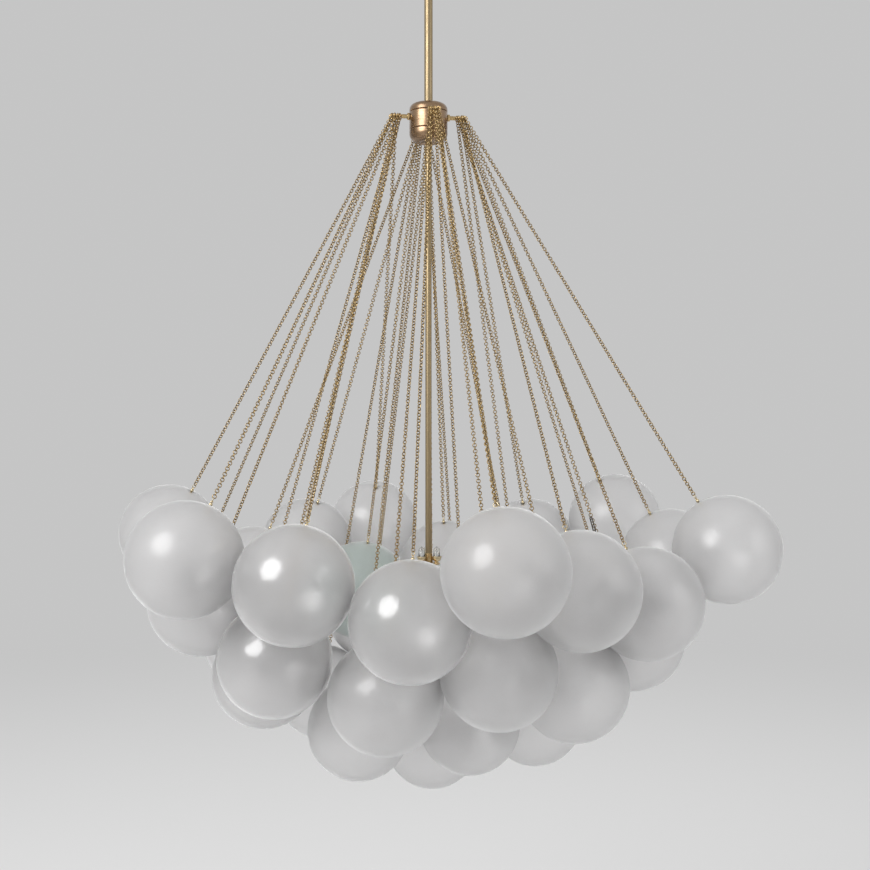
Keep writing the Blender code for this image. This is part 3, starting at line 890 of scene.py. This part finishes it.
inner_radius = globe_radius - glass_wall
mid_wall = globe_radius - glass_wall / 2
lip_angle = asin((globe_hole + glass_wall / 2) / mid_wall)
globe_outline = [(0, -inner_radius)]
for i in range(1, inner_count + 1):
    a = pi - (pi - lip_angle) * i / inner_count
    globe_outline.append((inner_radius * sin(a), inner_radius * cos(a)))
for i in range(1, lip_count):
    a = lip_angle + pi + pi * i / lip_count
    r = mid_wall * sin(lip_angle) + glass_wall / 2 * sin(a)
    z = mid_wall * cos(lip_angle) + glass_wall / 2 * cos(a)
    globe_outline.append((r, z))
for i in range(outer_count + 1):
    a = lip_angle + (pi - lip_angle) * i / outer_count
    globe_outline.append((globe_radius * sin(a), globe_radius * cos(a)))
globe_outline[-1] = (0, -globe_radius)
globe_shape = turned(globe_outline, globe_steps)
inside_faces = inner_count * globe_steps
for name, seat in seats.items():
    outside = satin_glass
    if name in lightly_etched:
        outside = light_satin_glass
    elif name in greener:
        outside = green_satin_glass
    place = seat @ Matrix.Rotation(chance.uniform(-pi, pi), 4, "Z")
    globe = new_piece(f"glass_{name}", placed(globe_shape, place), outside, smooth_glass)
    faces = globe.data.polygons
    faces.foreach_set("material_index", [int(i < inside_faces) for i in range(len(faces))])
    settle_piece(globe, "frosted_glass", f"globe_{name}")


# Studio
# A plain pale floor that fades into a pale room, a big soft lamp at the upper left in front, and a weaker
# one at the right. The camera is level with the lower part of the chains, as in the photograph.
floor_z = -2.1
floor_radius = 30
floor_steps = 96
floor_grey = (0.69, 0.69, 0.69, 1)
floor_roughness = 0.9
fade_start = 1.8
fade_end = 6.0
pale_shade = 0.56
room_light = 0.90
floor_lift = 0.03
key_direction = Vector((-0.58, -0.64, 0.50))
key_distance = 2.6
key_size = 1.6
key_power = 38
fill_place = Vector((2.4, -1.2, -0.2))
fill_size = 1.8
fill_power = 8
cluster_middle = Vector((0, 0, -1.05))
camera_place = (0.0094, -1.74, -0.8145)
camera_lens = 50
camera_sensor = 36


def pale_strength(tree, seen_strength, lit_strength):
    """How strong a pale surface or the room is: one value where it is seen, and another where it lights."""
    path = add_node(tree, "LightPath")
    seen = path.outputs["Is Camera Ray"]
    for kind in ("Is Glossy Ray", "Is Transmission Ray"):
        seen = add_node(tree, "Math", {0: seen, 1: path.outputs[kind]}, operation="MAXIMUM").outputs[0]
    strength = add_node(tree, "MapRange", {"Value": seen, "To Min": lit_strength, "To Max": seen_strength})
    return strength.outputs["Result"]


world = bpy.data.worlds.new("pale_room")
bpy.context.scene.world = world
world.use_nodes = True
room = world.node_tree.nodes["Background"]
room.inputs["Color"].default_value = (1, 1, 1, 1)
room_strength = pale_strength(world.node_tree, pale_shade, room_light)
world.node_tree.links.new(room_strength, room.inputs["Strength"])

floor_paint, tree, paint = new_material("floor_paint")
paint.inputs["Base Color"].default_value = floor_grey
paint.inputs["Roughness"].default_value = floor_roughness
paint.inputs["Specular IOR Level"].default_value = 0
paint.inputs["Emission Color"].default_value = (1, 1, 1, 1)
tree.links.new(pale_strength(tree, floor_lift, 0), paint.inputs["Emission Strength"])
place = add_node(tree, "TexCoord").outputs["Object"]
distance = add_node(tree, "VectorMath", {0: place}, operation="LENGTH").outputs["Value"]
fade = add_node(
    tree, "MapRange", {"Value": distance, "From Min": fade_start, "From Max": fade_end},
    interpolation_type="SMOOTHSTEP")
far = add_node(tree, "Emission", {"Strength": pale_strength(tree, pale_shade, room_light)})
mix = add_node(tree, "MixShader", {0: fade.outputs["Result"], 1: paint.outputs[0], 2: far.outputs[0]})
tree.links.new(mix.outputs[0], tree.nodes["Material Output"].inputs["Surface"])
floor = new_piece("floor", turned([(0, 0), (floor_radius, 0)], floor_steps), floor_paint)
floor.location.z = floor_z


def soft_lamp(name, place, size, power):
    light = bpy.data.lights.new(name, "AREA")
    light.shape = "DISK"
    light.size = size
    light.energy = power
    lamp = bpy.data.objects.new(name, light)
    lamp.location = place
    lamp.rotation_euler = (place - cluster_middle).to_track_quat("Z", "Y").to_euler()
    lamp.visible_camera = False
    bpy.context.scene.collection.objects.link(lamp)


soft_lamp("key_lamp", cluster_middle + key_direction * key_distance, key_size, key_power)
soft_lamp("fill_lamp", fill_place, fill_size, fill_power)

camera = bpy.data.objects.new("camera", bpy.data.cameras.new("camera"))
camera.data.lens = camera_lens
camera.data.sensor_width = camera_sensor
camera.location = camera_place
camera.rotation_euler = (pi / 2, 0, 0)
bpy.context.scene.collection.objects.link(camera)
bpy.context.scene.camera = camera
bpy.context.scene.view_settings.view_transform = "Standard"
